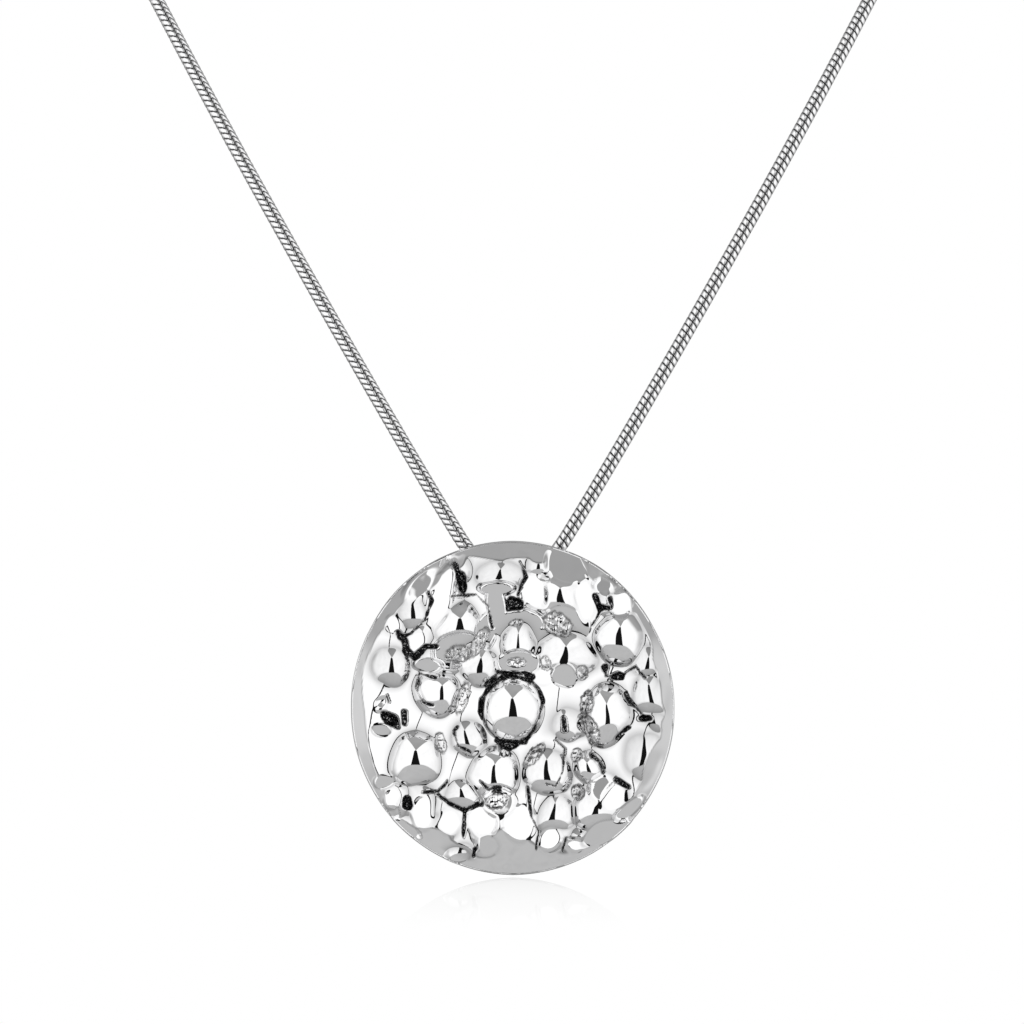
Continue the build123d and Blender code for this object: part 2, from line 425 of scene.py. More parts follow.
def press_pits(h, dark, x, y, wx, wy, grain):
    """Presses the rough dents, each with an outline and specks of painted shade."""
    for row in PITS:
        p, q = across(wx, wy, row)
        s = np.sqrt((p / row.wide) ** 2 + (q / row.tall) ** 2) + 0.12 * grain
        inside = smooth(1.05, 0.8, s)
        h = h + inside * (1.1 * grain + 0.5 * ripples(x, y, size=5, seed=7) - 1.5)
        dark = np.maximum(dark, 0.75 * np.exp(-(((s - 1.0) / 0.10) ** 2)))
        specks = smooth(0.35, 0.6, ripples(x, y, size=2.2, seed=8))
        dark = np.maximum(dark, inside * 0.8 * specks)
    return h, dark


def relief(x, y, edge_distance):
    """Height of the front above the back plane at places on the disc, and how much shade and crevice black is
    painted on it.
    """
    from_centre = np.hypot(x - CENTRE[0], y - CENTRE[1])
    uneven = BEND * smooth(BEND_FROM, BEND_FULL, from_centre)
    wx = x + uneven * ripples(x, y, size=23, seed=3)
    wy = y + uneven * ripples(x, y, size=23, seed=4)
    h, shade = raise_caps(valley_floor(wx, wy), np.zeros_like(x), wx, wy, CAPS)
    h, shade = smooth_slope(h, shade, x, y, wx, wy, TERRACE, LINE_BLUR, TERRACE_SHADE)
    h, shade = raise_caps(h, shade, wx, wy, UPPER_CAPS)
    h, shade = smooth_slope(h, shade, x, y, wx, wy, [BALL_FOOT], LINE_BLUR, FOOT_SHADE)
    border = rim_height(x, y, edge_distance)
    shade = JUNCTION_SHADE * np.where(h < border, shade, 0)
    shade = np.maximum(shade, BORDER_SHADE * np.exp(-(((h - border) / 0.8) ** 2)))
    h = -smax(-h, -border, BORDER_JOIN)
    for row in SOFT_FACETS:
        h, shade = smooth_slope(h, shade, x, y, wx, wy, [row], SOFT_BLUR, SOFT_SHADE)
    for row in FLOOR_FACETS:
        h, shade = smooth_slope(h, shade, x, y, wx, wy, [row], LINE_BLUR, LINE_SHADE)
    h, bump_shade = raise_caps(h, np.zeros_like(x), wx, wy, RIM_CAPS)
    shade = np.maximum(shade, JUNCTION_SHADE * bump_shade)
    h = h + 0.12 * ripples(x, y, size=9, seed=5)
    grain = ripples(x, y, size=2.6, seed=6)
    h, dark = cut_crevices(h, x, y, wx, wy, grain)
    h, dark = press_pits(h, dark, x, y, wx, wy, grain)
    inward = smooth(6, 10, edge_distance)
    reach = np.minimum(from_centre / DISH_RADIUS, 1)
    thinnest = DISH_START + DISH * (1 - reach**2) + THINNEST_WALL
    return np.maximum(h, thinnest * inward), shade * inward, dark * inward


# ---- Materials ----------------------------------------------------------------------


def new_material(name):
    """A new material, its node tree and its main shader."""
    m = bpy.data.materials.new(name)
    m.use_nodes = True
    return m, m.node_tree, m.node_tree.nodes["Principled BSDF"]


# near black of painted shade: junctions, crevices, pits and chain seams are darkened towards it
PAINTED_SHADE_BLACK = (0.012, 0.012, 0.013, 1)


def polished_metal(name, color, rough, speck_share):
    """Polished plating, with a fine uneven gloss.

    The attribute 'shade' paints shade on it, and 'crevice' turns it into rough metal painted near black as
    shade.
    """
    m, nt, bsdf = new_material(name)
    node, link = nt.nodes.new, nt.links.new
    bsdf.inputs["Metallic"].default_value = 1.0
    place = node("ShaderNodeTexCoord")
    fine = node("ShaderNodeTexNoise")
    fine.inputs["Scale"].default_value = 2600.0
    fine.inputs["Detail"].default_value = 3.0
    link(place.outputs["Object"], fine.inputs["Vector"])
    dark = node("ShaderNodeAttribute")
    dark.attribute_name = "crevice"
    speck = node("ShaderNodeTexNoise")
    speck.inputs["Scale"].default_value = 5200.0
    speck.inputs["Detail"].default_value = 2.0
    link(place.outputs["Object"], speck.inputs["Vector"])
    # bright specks break through the painted shade of a crevice
    break_up = node("ShaderNodeMapRange")
    break_up.inputs["From Min"].default_value = 0.56
    break_up.inputs["From Max"].default_value = 0.66
    break_up.inputs["To Min"].default_value = 1.0
    break_up.inputs["To Max"].default_value = 1.0 - speck_share
    link(speck.outputs["Fac"], break_up.inputs["Value"])
    amount = node("ShaderNodeMath")
    amount.operation = "MULTIPLY"
    link(dark.outputs["Fac"], amount.inputs[0])
    link(break_up.outputs["Result"], amount.inputs[1])
    shade = node("ShaderNodeAttribute")
    shade.attribute_name = "shade"
    # painted shade: the colour darkens towards near black where 'shade' is high, at junctions, edges and the
    # border
    painted_shade_colour = node("ShaderNodeMix")
    painted_shade_colour.data_type = "RGBA"
    painted_shade_colour.inputs["A"].default_value = (*color, 1)
    painted_shade_colour.inputs["B"].default_value = PAINTED_SHADE_BLACK
    link(shade.outputs["Fac"], painted_shade_colour.inputs["Factor"])
    # painted shade: crevices and pits are painted near black, broken by bright specks
    crevice_shade = node("ShaderNodeMix")
    crevice_shade.data_type = "RGBA"
    link(painted_shade_colour.outputs["Result"], crevice_shade.inputs["A"])
    crevice_shade.inputs["B"].default_value = PAINTED_SHADE_BLACK
    link(amount.outputs["Value"], crevice_shade.inputs["Factor"])
    link(crevice_shade.outputs["Result"], bsdf.inputs["Base Color"])
    gloss = node("ShaderNodeMapRange")
    gloss.inputs["From Min"].default_value = 0.3
    gloss.inputs["From Max"].default_value = 0.7
    gloss.inputs["To Min"].default_value = rough * 0.6
    gloss.inputs["To Max"].default_value = rough * 1.4
    link(fine.outputs["Fac"], gloss.inputs["Value"])
    rougher = node("ShaderNodeMath")
    rougher.operation = "MULTIPLY_ADD"
    rougher.inputs[1].default_value = 0.4
    link(dark.outputs["Fac"], rougher.inputs[0])
    link(gloss.outputs["Result"], rougher.inputs[2])
    link(rougher.outputs["Value"], bsdf.inputs["Roughness"])
    return m


disc_metal = polished_metal("disc_metal", (0.93, 0.93, 0.935), rough=0.03, speck_share=0.55)
chain_metal = polished_metal("chain_metal", (0.9, 0.9, 0.905), rough=0.08, speck_share=0.1)
clasp_metal = polished_metal("clasp_metal", (0.9, 0.9, 0.905), rough=0.06, speck_share=0.1)


# ---- Meshes -------------------------------------------------------------------------


def make_mesh(name, verts, quads, material, **attributes):
    """A smooth-shaded mesh of quads, with float attributes per vertex."""
    mesh = bpy.data.meshes.new(name)
    mesh.vertices.add(len(verts))
    mesh.vertices.foreach_set("co", np.asarray(verts, np.float32).ravel())
    mesh.loops.add(len(quads) * 4)
    mesh.loops.foreach_set("vertex_index", np.asarray(quads, np.int32).ravel())
    mesh.polygons.add(len(quads))
    mesh.polygons.foreach_set("loop_start", np.arange(0, len(quads) * 4, 4, dtype=np.int32))
    mesh.update(calc_edges=True)
    mesh.polygons.foreach_set("use_smooth", np.ones(len(quads), bool))
    for key, values in attributes.items():
        data = mesh.attributes.new(key, "FLOAT", "POINT").data
        data.foreach_set("value", np.asarray(values, np.float32))
    mesh.materials.append(material)
    mesh.validate()
    obj = bpy.data.objects.new(name, mesh)
    bpy.context.scene.collection.objects.link(obj)
    return obj


def bridge(loops):
    """Quads between closed loops of vertex numbers that follow one another."""
    rows = []
    for a, b in zip(loops, loops[1:]):
        rows.append(np.stack([a, np.roll(a, -1), np.roll(b, -1), b], 1))
    return np.concatenate(rows)


def outline(angle):
    """Radius of the disc at an angle."""
    angles, radii = zip(*OUTLINE)
    return np.interp(np.degrees(angle) % 360, angles, radii)


def squircle(c, s):
    """Reach of a square with rounded corners next to a circle's, in the direction of this cosine and sine."""
    return (np.abs(c) ** 4 + np.abs(s) ** 4) ** -0.25


FRONT_CELLS = 300
BEVEL = 1.2

# The rounded edge and the side wall down to its middle: how far beyond the bevel's start, and below it
EdgePoint = namedtuple("EdgePoint", "out drop")
EDGE_SECTION = [
    EdgePoint(0.6, 0.9),
    EdgePoint(1.0, 1.9),
    EdgePoint(1.2, 3.0),
    EdgePoint(1.2, 3.8),
]

# The back from the side wall inwards: how far beyond the outline, and how high above the back plane
BackPoint = namedtuple("BackPoint", "out height")
BACK_SECTION = [
    BackPoint(0.0, 1.4),
    BackPoint(0.0, 1.0),
    BackPoint(-0.4, 0.3),
    BackPoint(-1.2, 0.0),
    BackPoint(-9.0, 0.0),
    BackPoint(-13.5, 0.0),
    BackPoint(-15.0, DISH_START),
]
BACK_SIDES = 360
BACK_RINGS = 60


def disc_front(n):
    """The cast front: a square grid laid on the disc, so that its cells stay even up to the rim."""
    line = np.linspace(-1, 1, n + 1)
    a, b = np.meshgrid(line, line, indexing="ij")
    wide = np.abs(a) > np.abs(b)
    with np.errstate(divide="ignore", invalid="ignore"):
        r = np.where(wide, a, b)
        turn = np.where(wide, math.pi / 4 * b / a, math.pi / 2 - math.pi / 4 * a / b)
    turn = np.where(np.isfinite(turn), turn, 0.0)
    ux, uz = r * np.cos(turn), r * np.sin(turn)
    angle = np.arctan2(uz, ux)
    reach = outline(angle) - BEVEL
    x, z = ux * reach, uz * reach
    h, shade, dark = relief(CENTRE[0] + x, CENTRE[1] - z, outline(angle) - np.hypot(x, z))
    number = np.arange((n + 1) ** 2).reshape(n + 1, n + 1)
    quads = np.stack([number[:-1, :-1], number[1:, :-1], number[1:, 1:], number[:-1, 1:]], -1).reshape(-1, 4)
    border = np.concatenate([number[:-1, 0], number[-1, :-1], number[:0:-1, -1], number[0, :0:-1]])
    x, z, h = x.ravel(), z.ravel(), h.ravel()
    theta = np.arctan2(z[border], x[border])
    loops, parts = [border], [np.stack([x, h, z], 1)]
    count = len(x)
    for row in EDGE_SECTION:
        rr = outline(theta) - BEVEL + row.out
        parts.append(np.stack([rr * np.cos(theta), h[border] - row.drop, rr * np.sin(theta)], 1))
        loops.append(np.arange(count, count + len(border)))
        count += len(border)
    verts = np.concatenate(parts)
    quads = np.concatenate([quads, bridge(loops)])
    side = np.zeros(count - len(x))
    shade = np.concatenate([shade.ravel(), side])
    dark = np.concatenate([dark.ravel(), side])
    return from_disc(verts), quads, shade, dark


def from_disc(verts):
    """From steps on the disc (x, height in front of the back plane, z) to the frame's metres."""
    v = np.asarray(verts, float)
    return np.stack([v[:, 0] * STEP, DISC_Y - v[:, 1] * STEP, DISC_Z + v[:, 2] * STEP], 1)


verts, quads, shade, dark = disc_front(FRONT_CELLS)
front = make_mesh("disc_front", verts, quads, disc_metal, shade=shade, crevice=dark)
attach(front, "pendant")
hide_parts("pendant_disc")


def disc_back():
    """The back: side wall, a flat ring and a shallow dish, gently uneven as the casting is."""
    theta = np.linspace(0, 2 * math.pi, BACK_SIDES, endpoint=False)
    verts, loops, count = [], [], 0
    for row in BACK_SECTION:
        rr = outline(theta) + row.out
        verts.append(np.stack([rr * np.cos(theta), np.full_like(theta, row.height), rr * np.sin(theta)], 1))
        loops.append(np.arange(count, count + len(theta)))
        count += len(theta)
    for share in np.linspace(0.985, 0.0, BACK_RINGS):
        rr = (outline(theta) + BACK_SECTION[-1].out) * share
        x, z = rr * np.cos(theta), rr * np.sin(theta)
        dish = DISH * (1 - share**2)
        px, py = CENTRE[0] + x, CENTRE[1] - z
        wave = 0.7 * ripples(px, py, size=26, seed=11) + 0.15 * ripples(px, py, size=9, seed=12)
        wave *= min(1.0, 4 * (1 - share))
        verts.append(np.stack([x, DISH_START + dish + wave, z], 1))
        loops.append(np.arange(count, count + len(theta)))
        count += len(theta)
    quads = bridge(loops)
    return from_disc(np.concatenate(verts)), quads


verts, quads = disc_back()
back = make_mesh("disc_back", verts, quads, disc_metal, crevice=np.zeros(len(verts)))
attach(back, "pendant")
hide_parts("pendant_disc")

# The bail: a short rounded ring behind the top of the disc, with the foot that it is soldered on by
BAIL_Y = DISC_Y + 1.5 * MM
BAIL_Z = DISC_Z + 13.8 * MM
BAIL_RADIUS = 1.725
BAIL_HALF_WIDTH = 0.9
BAIL_HALF_WALL = 0.375

# Half the foot's width and height, and how it grows towards the disc
FOOT_HALF_WIDTH = 0.85
FOOT_HALF_HEIGHT = 1.05
FootPoint = namedtuple("FootPoint", "depth grow")
FOOT_SECTION = [
    FootPoint(-1.5, 0.9),
    FootPoint(-1.7, 1.0),
    FootPoint(-1.85, 1.1),
    FootPoint(-1.95, 1.3),
    FootPoint(-2.05, 1.6),
    FootPoint(-2.3, 1.9),
]


def bail_ring():
    """A ring whose section is a rectangle with rounded corners."""
    turn = np.linspace(0, 2 * math.pi, 72, endpoint=False)
    verts, loops, count = [], [], 0
    for a in np.linspace(0, 2 * math.pi, 24, endpoint=False):
        c, s = math.cos(a), math.sin(a)
        along = BAIL_HALF_WIDTH * c * squircle(c, s)
        radius = BAIL_RADIUS + BAIL_HALF_WALL * s * squircle(c, s)
        y, z = radius * np.cos(turn), radius * np.sin(turn)
        verts.append(np.stack([np.full_like(turn, along * MM), BAIL_Y + y * MM, BAIL_Z + z * MM], 1))
        loops.append(np.arange(count, count + len(turn)))
        count += len(turn)
    return np.concatenate(verts), bridge(loops + [loops[0]])


verts, quads = bail_ring()
bail = make_mesh("bail", verts, quads, disc_metal, crevice=np.zeros(len(verts)))
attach(bail, "pendant")
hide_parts("pendant_disc")


def bail_foot():
    """A soldered foot, waisted towards the disc where the solder has run."""
    turn = np.linspace(0, 2 * math.pi, 48, endpoint=False)
    c, s = np.cos(turn), np.sin(turn)
    verts, loops, count = [], [], 0
    for row in FOOT_SECTION:
        x = FOOT_HALF_WIDTH * row.grow * c * squircle(c, s) * MM
        y = np.full_like(turn, BAIL_Y + row.depth * MM)
        z = BAIL_Z + FOOT_HALF_HEIGHT * row.grow * s * squircle(c, s) * MM
        verts.append(np.stack([x, y, z], 1))
        loops.append(np.arange(count, count + len(turn)))
        count += len(turn)
    return np.concatenate(verts), bridge(loops)


verts, quads = bail_foot()
foot = make_mesh("bail_foot", verts, quads, disc_metal, crevice=np.zeros(len(verts)))
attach(foot, "pendant")
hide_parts("pendant_disc")

# ---- Snake chain --------------------------------------------------------------------

# Route of one leg from the bail outwards, in millimetres from the disc's centre and back plane
LegPoint = namedtuple("LegPoint", "x y z")
LEG = [
    LegPoint(3.0, 1.5, 14.15),
    LegPoint(9.1, 2.1, 24.0),
    LegPoint(20.1, 4.4, 42.9),
    LegPoint(32.7, 8.5, 65.3),
    LegPoint(44.4, 16.5, 87.4),
    LegPoint(55.0, 33.2, 104.6),
    LegPoint(58.8, 54.8, 116.6),
    LegPoint(52.6, 77.6, 124.2),
    LegPoint(36.8, 94.8, 128.1),
    LegPoint(17.2, 103.2, 129.4),
    LegPoint(3.7, 103.2, 129.4),
]
CHAIN_RADIUS = 0.8 * MM
PITCH = 0.72 * MM

# How far the seams are turned from the front in degrees: on both legs, and how much more on the right
# leg and less on the left. The chain turns over this many links to either side of the bail.
TWIST = 2.5
TWIST_APART = 8.5
TWIST_LINKS = 12

# How far the scales lean within their row, as a share of the pitch
LEAN_LEFT = 0.34
LEAN_RIGHT = 0.12

# Shape of a link: its corners around and along the chain, how far and how squarely its edge waves, how
# deep its grooves and seams are, how wide its seams are, and how strongly its seams are painted dark as shade
LINK_SIDES = 40
LINK_PLACES = [-0.5, -0.45, -0.38, -0.26, -0.09, 0.09, 0.26, 0.38, 0.45, 0.5]
WAVE = 0.25
WAVE_SQUARE = 2.2
LINK_LOW = 0.78
SEAM_DEPTH = 0.12
SEAM_WIDTH = 0.28
SEAM_PAINTED_SHADE = 1.6


def route_points():
    """Points along the chain's line, read from a spline with the route's points as its control points."""
    control = [(-x, y, z) for x, y, z in reversed(LEG)] + LEG
    curve = bpy.data.curves.new("route", "CURVE")
    curve.dimensions = "3D"
    curve.resolution_u = 64
    spline = curve.splines.new("NURBS")
    spline.points.add(len(control) - 1)
    for point, (x, y, z) in zip(spline.points, control):
        point.co = (x * MM, DISC_Y + y * MM, DISC_Z + z * MM, 1)
    spline.order_u = 3
    spline.use_endpoint_u = True
    line = bpy.data.objects.new("route", curve)
    bpy.context.scene.collection.objects.link(line)
    mesh = bpy.data.meshes.new_from_object(line)
    points = np.array([v.co for v in mesh.vertices], float)
    bpy.data.objects.remove(line)
    bpy.data.meshes.remove(mesh)
    return points


def chain_frames(points, spacing):
    """Even places along the line with the line's direction and two directions across it, without twist."""
    run = np.linalg.norm(np.diff(points, axis=0), axis=1)
    far = np.concatenate([[0], np.cumsum(run)])
    count = int(far[-1] / spacing)
    at = (np.arange(count) + 0.5) * far[-1] / count
    centre = np.stack([np.interp(at, far, points[:, k]) for k in range(3)], 1)
    ahead = np.stack([np.interp(at + spacing, far, points[:, k]) for k in range(3)], 1)
    behind = np.stack([np.interp(at - spacing, far, points[:, k]) for k in range(3)], 1)
    along = ahead - behind
    along /= np.linalg.norm(along, axis=1)[:, None]
    across = np.zeros_like(along)
    side = np.array([0.0, -1.0, 0.0])
    for i, t in enumerate(along):
        side = side - t * (side @ t)
        side /= np.linalg.norm(side)
        across[i] = side
    return centre, along, across, np.cross(along, across), far[-1] / count


def chain_links(first, last, frames):
    """Links first to last: wavy bands, each nested in the next, with a groove between them.

    Around the chain the waves make four rows of scales, with a seam between two rows. Grooves and seams are
    painted dark, as shade.
    """
    centre, along, across, third, pitch = frames
    phi = np.linspace(0, 2 * math.pi, LINK_SIDES, endpoint=False)
    wave = np.tanh(WAVE_SQUARE * np.cos(2 * phi)) / math.tanh(WAVE_SQUARE)
    lean = 0.35 * np.sin(8 * phi) - np.sin(4 * phi)
    seam = np.exp(-((np.cos(2 * phi) / SEAM_WIDTH) ** 2))
    u = np.array(LINK_PLACES)
    dome = 1 - np.abs(2 * u) ** 3.0
    swell = LINK_LOW + (1 - LINK_LOW) * np.sqrt(dome)
    radius = CHAIN_RADIUS * swell[:, None] * (1 - SEAM_DEPTH * seam[None, :])
    # painted shade: the grooves between links and the seams between rows are painted dark
    gap = np.clip(1.6 - dome * 2.3, 0, 1)
    dark = np.maximum(gap[:, None], np.minimum(1.0, SEAM_PAINTED_SHADE * seam)[None, :])
    link_quads = bridge(list(np.arange(radius.size).reshape(radius.shape)))
    middle = len(centre) / 2
    verts, quads = [], []
    for k in range(first, last):
        side = max(-1.0, min(1.0, (k - middle) / TWIST_LINKS))
        turn = math.radians(45 + TWIST + TWIST_APART * side)
        lean_here = (LEAN_LEFT * (1 - side) + LEAN_RIGHT * (1 + side)) / 2
        shift = (u[:, None] + WAVE * wave + lean_here * lean) * pitch
        c, s = np.cos(phi + turn), np.sin(phi + turn)
        p = (
            centre[k]
            + shift[..., None] * along[k]
            + (radius * c)[..., None] * across[k]
            + (radius * s)[..., None] * third[k]
        )
        quads.append(link_quads + len(verts) * radius.size)
        verts.append(p.reshape(-1, 3))
    return np.concatenate(verts), np.concatenate(quads), np.tile(dark.ravel(), last - first)


frames = chain_frames(route_points(), PITCH)
total = len(frames[0])
cuts = [0, total // 3, 2 * total // 3, total]
for number, (first, last) in enumerate(zip(cuts, cuts[1:])):
    verts, quads, dark = chain_links(first, last, frames)
    links = make_mesh(f"chain_links_{number + 1}", verts, quads, chain_metal, crevice=dark)
    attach(links, "necklace")
    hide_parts("snake_chain")

# ---- Clasp --------------------------------------------------------------------------

CLASP_LENGTH = 11.0 * MM
CLASP_RADIUS = 1.6 * MM
CLASP_EDGE = 0.5 * MM
SOCKET_RADIUS = 0.95 * MM
SOCKET_DEPTH = 2.0 * MM


def clasp_barrel():
    """A plain smooth barrel with rounded ends and a blind socket in each end."""
    half = CLASP_LENGTH / 2
    bend = np.linspace(0, math.pi / 2, 9)
    right = [(half - SOCKET_DEPTH, 0.0), (half - SOCKET_DEPTH, SOCKET_RADIUS), (half, SOCKET_RADIUS)]
    for a in bend:
        x = half - CLASP_EDGE + CLASP_EDGE * math.cos(a)
        r = CLASP_RADIUS - CLASP_EDGE * (1 - math.sin(a))
        right.append((x, r))
    profile = right + [(-x, r) for x, r in reversed(right)]
    turn = np.linspace(0, 2 * math.pi, 64, endpoint=False)
    verts, loops = [], []
    for k, (x, r) in enumerate(profile):
        verts.append(np.stack([np.full_like(turn, x), r * np.cos(turn), r * np.sin(turn)], 1))
        loops.append(np.arange(k * len(turn), (k + 1) * len(turn)))
    return np.concatenate(verts), bridge(loops)


verts, quads = clasp_barrel()
barrel = make_mesh("clasp_barrel", verts, quads, clasp_metal, crevice=np.zeros(len(verts)))
barrel.data.set_sharp_from_angle(angle=math.radians(50))
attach(barrel, "necklace")
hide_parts("clasp")

# ---- Studio -------------------------------------------------------------------------


class Sums:
    """Builds chains of math nodes in one node tree."""

    def __init__(self, tree):
        self.tree = tree

    def math(self, operation, *values):
        node = self.tree.nodes.new("ShaderNodeMath")
        node.operation = operation
        for socket, value in zip(node.inputs, values):
            if isinstance(value, (int, float)):
                socket.default_value = value
            else:
                self.tree.links.new(value, socket)
        return node.outputs["Value"]

    def add(self, a, b):
        return self.math("ADD", a, b)

    def sub(self, a, b):
        return self.math("SUBTRACT", a, b)

    def mul(self, a, b):
        return self.math("MULTIPLY", a, b)

    def div(self, a, b):
        return self.math("DIVIDE", a, b)

    def step(self, low, high, value):
        """0 below low, 1 above high, smooth between. Low may lie above high."""
        node = self.tree.nodes.new("ShaderNodeMapRange")
        node.interpolation_type = "SMOOTHSTEP"
        flip = low > high
        node.inputs["From Min"].default_value = high if flip else low
        node.inputs["From Max"].default_value = low if flip else high
        node.inputs["To Min"].default_value = 1.0 if flip else 0.0
        node.inputs["To Max"].default_value = 0.0 if flip else 1.0
        self.tree.links.new(value, node.inputs["Value"])
        return node.outputs["Result"]

    def blend(self, a, b, share):
        return self.add(self.mul(a, self.sub(1.0, share)), self.mul(b, share))


# Light of the tent's parts, where 1 is the white of the picture
WALL_LIGHT = 1.12
BACK_WALL_LIGHT = 0.66
BACKDROP_LIGHT = 1.0
LEAF_LIGHT = 0.34
FLOOR_LIGHT = 0.52
SLOT_LIGHT = 0.008

# Half the slot's width by height above the horizon, both in degrees
SlotWidth = namedtuple("SlotWidth", "elevation half")
SLOT = [
    SlotWidth(-27.0, 15.5),
    SlotWidth(0.0, 11.0),
    SlotWidth(20.0, 8.0),
    SlotWidth(35.0, 5.0),
    SlotWidth(38.5, 0.0),
]
SLOT_SCALE = 16.0

# The leaf starts in front, widens up to its bend, and narrows slowly behind it
LEAF_START = -1.33
LEAF_BEND = -0.2
LEAF_HALF = 0.45
LEAF_MIDDLE = 0.04

# The oval floor: half its width and depth, and its middle
FLOOR_WIDE = 1.25
FLOOR_DEEP = 1.45
FLOOR_MIDDLE = -0.75


def tent_walls(s, y, elevation):
    """White walls to the sides and in front, a dimmer one behind, and the white backdrop in it."""
    dim = s.sub(BACK_WALL_LIGHT, s.mul(0.16, s.step(-12, -30, elevation)))
    dim = s.sub(dim, s.mul(0.26, s.step(12, 25, elevation)))
    dim = s.mul(dim, s.sub(1.0, s.mul(0.45, s.step(0.45, 0.8, y))))
    light = s.blend(WALL_LIGHT, dim, s.step(-0.25, 0.25, y))
    return s.blend(light, BACKDROP_LIGHT, s.step(0.97, 0.99, y))


def ceiling_leaf(s, light, u, v, up, elevation):
    """The grey leaf overhead. u and v are where a direction meets a plane one unit above."""
    near = s.mul(s.sub(v, LEAF_START), LEAF_HALF / (LEAF_BEND - LEAF_START))
    far = s.sub(LEAF_HALF, s.mul(0.12, s.sub(v, LEAF_BEND)))
    half = s.blend(near, far, s.step(LEAF_BEND - 0.001, LEAF_BEND + 0.001, v))
    leaf = s.step(-0.02, 0.02, s.sub(half, s.math("ABSOLUTE", s.sub(u, LEAF_MIDDLE))))
    leaf = s.mul(s.mul(leaf, up), s.step(1.9, 1.5, v))
    grey = s.add(LEAF_LIGHT, s.mul(0.05, s.step(40, 75, elevation)))
    return s.blend(light, grey, leaf)


def tent_floor(s, light, u, v, down):
    """The grey oval floor with its dark seam, and the shade around it. u and v lie one unit below."""
    ring = s.add(
        s.math("POWER", s.math("ABSOLUTE", s.div(u, FLOOR_WIDE)), 2.0),
        s.math("POWER", s.math("ABSOLUTE", s.div(s.sub(v, FLOOR_MIDDLE), FLOOR_DEEP)), 2.0),
    )
    light = s.mul(light, s.sub(1.0, s.mul(0.25, s.mul(s.step(1.9, 1.03, ring), down))))
    inner = s.mul(s.step(1.03, 0.99, ring), down)
    light = s.blend(light, FLOOR_LIGHT, inner)
    seam = s.math("POWER", s.div(s.sub(ring, 1.02), 0.035), 2.0)
    seam = s.mul(s.math("EXPONENT", s.mul(seam, -1.0)), down)
    return s.mul(light, s.sub(1.0, s.mul(0.65, seam))), inner


def lens_slot(s, light, elevation, azimuth, inner):
    """The dark slot that the lens looks through, narrower further up."""
    low, high = SLOT[0].elevation, SLOT[-1].elevation
    width = s.tree.nodes.new("ShaderNodeFloatCurve")
    curve = width.mapping.curves[0]
    for row in SLOT[1:-1]:
        curve.points.new((row.elevation - low) / (high - low), row.half / SLOT_SCALE)
    curve.points[0].location = (0, SLOT[0].half / SLOT_SCALE)
    curve.points[-1].location = (1, SLOT[-1].half / SLOT_SCALE)
    for point in curve.points:
        point.handle_type = "VECTOR"
    width.mapping.update()
    share = s.div(s.sub(elevation, low), high - low)
    share = s.math("MAXIMUM", s.math("MINIMUM", share, 1.0), 0.0)
    s.tree.links.new(share, width.inputs["Value"])
    slot = s.step(-0.5, 0.5, s.sub(s.mul(width.outputs["Value"], SLOT_SCALE), azimuth))
    slot = s.mul(s.mul(slot, s.step(high + 0.1, high - 0.1, elevation)), s.sub(1.0, inner))
    return s.blend(light, SLOT_LIGHT, slot)


def studio_world():
    """A white light tent: grey leaf overhead, grey floor, and the dark slot that the lens looks through."""
    world = bpy.data.worlds.new("studio")
    bpy.context.scene.world = world
    world.use_nodes = True
    tree = world.node_tree
    background = tree.nodes["Background"]
    s = Sums(tree)
    where = tree.nodes.new("ShaderNodeTexCoord")
    unit = tree.nodes.new("ShaderNodeVectorMath")
    unit.operation = "NORMALIZE"
    tree.links.new(where.outputs["Generated"], unit.inputs[0])
    split = tree.nodes.new("ShaderNodeSeparateXYZ")
    tree.links.new(unit.outputs["Vector"], split.inputs[0])
    x, y, z = split.outputs
    elevation = s.mul(s.math("ARCSINE", z), 180 / math.pi)
    azimuth = s.mul(s.math("ARCTAN2", s.math("ABSOLUTE", x), s.mul(y, -1.0)), 180 / math.pi)
    steep = s.math("MAXIMUM", s.math("ABSOLUTE", z), 0.001)
    u, v = s.div(x, steep), s.div(y, steep)
    up = s.step(-0.001, 0.001, z)
    down = s.sub(1.0, up)

    light = tent_walls(s, y, elevation)
    light = ceiling_leaf(s, light, u, v, up, elevation)
    light, inner = tent_floor(s, light, u, v, down)
    light = lens_slot(s, light, elevation, azimuth, inner)

    # the tent's cloth is a little uneven
    cloud = tree.nodes.new("ShaderNodeTexNoise")
    cloud.inputs["Scale"].default_value = 3.5
    cloud.inputs["Detail"].default_value = 1.0
    tree.links.new(where.outputs["Generated"], cloud.inputs["Vector"])
    light = s.mul(light, s.add(0.91, s.mul(0.18, cloud.outputs["Fac"])))

    # the picture's background is plain white
    path = tree.nodes.new("ShaderNodeLightPath")
    light = s.blend(light, 1.0, path.outputs["Is Camera Ray"])
    tree.links.new(light, background.inputs["Color"])


studio_world()

# The floor: half its width in metres, its share of mirror light below the disc, how fast that fades per
# metre towards the viewer, and how much of the glow it takes there, a painted shade under the mirror image.
# The pairs say where the mirror light and its painted shade grow and fade: in front of the disc's back, to
# the sides, and by how grazing the view is.
FLOOR_HALF = 3.0
MIRROR = 0.36
MIRROR_FADE = 36.0
MIRROR_START = (-0.012, 0.0)
MIRROR_END = (0.085, 0.05)
MIRROR_SIDE = (0.024, 0.016)
MIRROR_GRAZING = (0.78, 0.90)
FLOOR_PAINTED_SHADE = 0.84


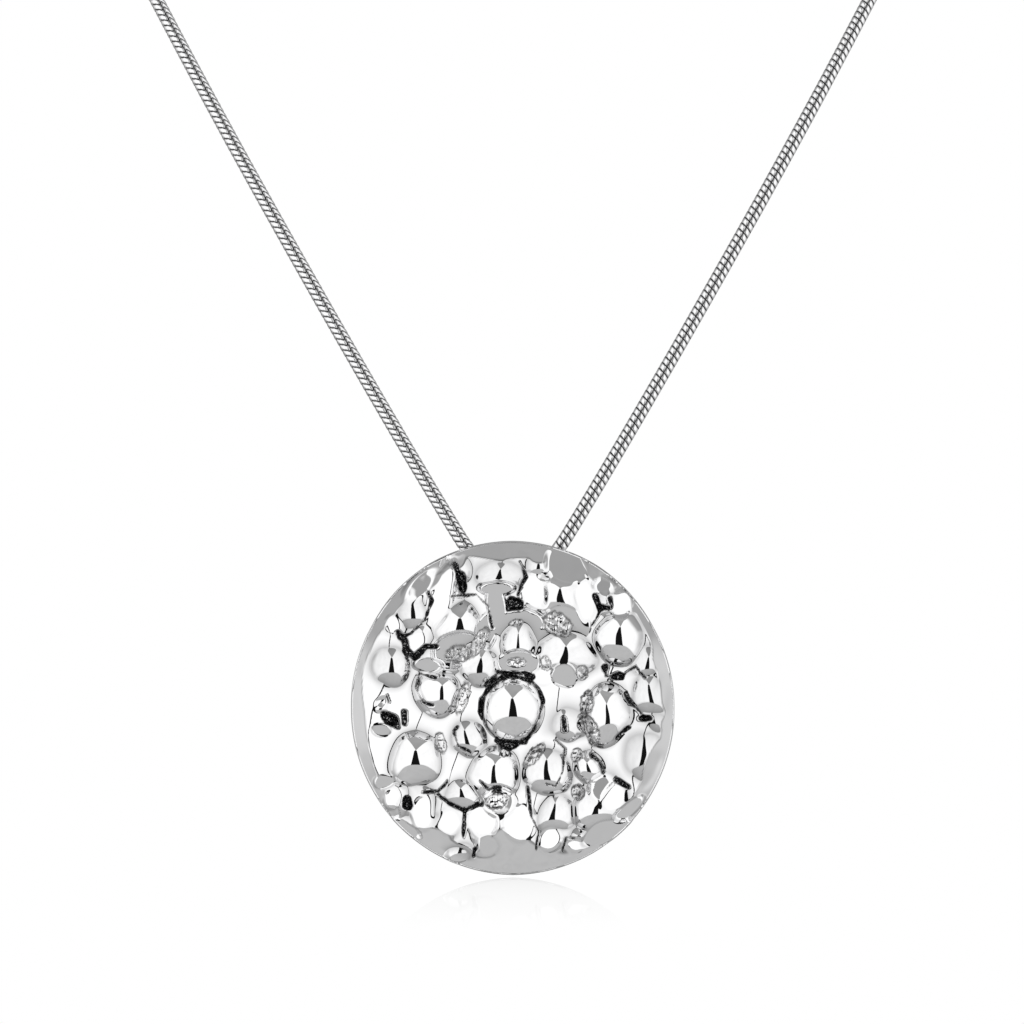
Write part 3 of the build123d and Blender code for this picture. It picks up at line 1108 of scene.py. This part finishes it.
def studio_floor():
    """White floor with the disc's faint mirror image and painted shade, both fading towards the viewer."""
    low, high = -FLOOR_HALF, FLOOR_HALF
    verts = [(low, low, FLOOR_Z), (high, low, FLOOR_Z), (high, high, FLOOR_Z), (low, high, FLOOR_Z)]
    m, nt, bsdf = new_material("floor_white")
    nt.nodes.remove(bsdf)
    s = Sums(nt)
    where = nt.nodes.new("ShaderNodeTexCoord")
    split = nt.nodes.new("ShaderNodeSeparateXYZ")
    nt.links.new(where.outputs["Object"], split.inputs[0])
    ahead = s.sub(DISC_Y, split.outputs["Y"])
    # the mirror light below the disc, which also dims the floor's glow there as a painted shade
    mirror_and_painted_shade = s.math("EXPONENT", s.mul(s.math("MAXIMUM", ahead, 0.0), -MIRROR_FADE))
    mirror_and_painted_shade = s.mul(s.mul(mirror_and_painted_shade, MIRROR), s.step(*MIRROR_START, ahead))
    mirror_and_painted_shade = s.mul(mirror_and_painted_shade, s.step(*MIRROR_END, ahead))
    mirror_and_painted_shade = s.mul(mirror_and_painted_shade, s.step(*MIRROR_SIDE, s.math("ABSOLUTE", split.outputs["X"])))
    # like any smooth floor, it mirrors only at a grazing angle
    grazing = nt.nodes.new("ShaderNodeLayerWeight")
    mirror_and_painted_shade = s.mul(mirror_and_painted_shade, s.step(*MIRROR_GRAZING, grazing.outputs["Facing"]))
    glow = nt.nodes.new("ShaderNodeEmission")
    # painted shade: the floor's glow is dimmed where it mirrors the disc
    nt.links.new(s.sub(1.0, s.mul(mirror_and_painted_shade, FLOOR_PAINTED_SHADE)), glow.inputs["Strength"])
    gloss = nt.nodes.new("ShaderNodeBsdfGlossy")
    gloss.inputs["Roughness"].default_value = 0.03
    nt.links.new(mirror_and_painted_shade, gloss.inputs["Color"])
    both = nt.nodes.new("ShaderNodeAddShader")
    nt.links.new(glow.outputs[0], both.inputs[0])
    nt.links.new(gloss.outputs[0], both.inputs[1])
    nt.links.new(both.outputs[0], nt.nodes["Material Output"].inputs["Surface"])
    floor = make_mesh("floor", verts, [(0, 1, 2, 3)], m)
    floor.visible_glossy = False
    floor.visible_diffuse = False


studio_floor()

# ---- Camera -------------------------------------------------------------------------

# The camera looks level at the picture's middle, a little left of the disc's centre and above it.
# Its distance is to the front of the disc.
DISTANCE = 0.62
FRONT_Y = DISC_Y - 3.1 * MM
MIDDLE_X = -1.0 * STEP
MIDDLE_Z = DISC_Z + 197.5 * STEP
PICTURE_WIDTH = 1024 * STEP
SENSOR_WIDTH = 36
camera_data = bpy.data.cameras.new("camera")
camera_data.sensor_width = SENSOR_WIDTH
camera_data.lens = SENSOR_WIDTH * DISTANCE / PICTURE_WIDTH
camera_data.clip_start = 0.05
camera_data.clip_end = 20
camera = bpy.data.objects.new("camera", camera_data)
bpy.context.scene.collection.objects.link(camera)
camera.location = (MIDDLE_X, FRONT_Y - DISTANCE, MIDDLE_Z)
camera.rotation_euler = (math.pi / 2, 0, 0)
bpy.context.scene.camera = camera
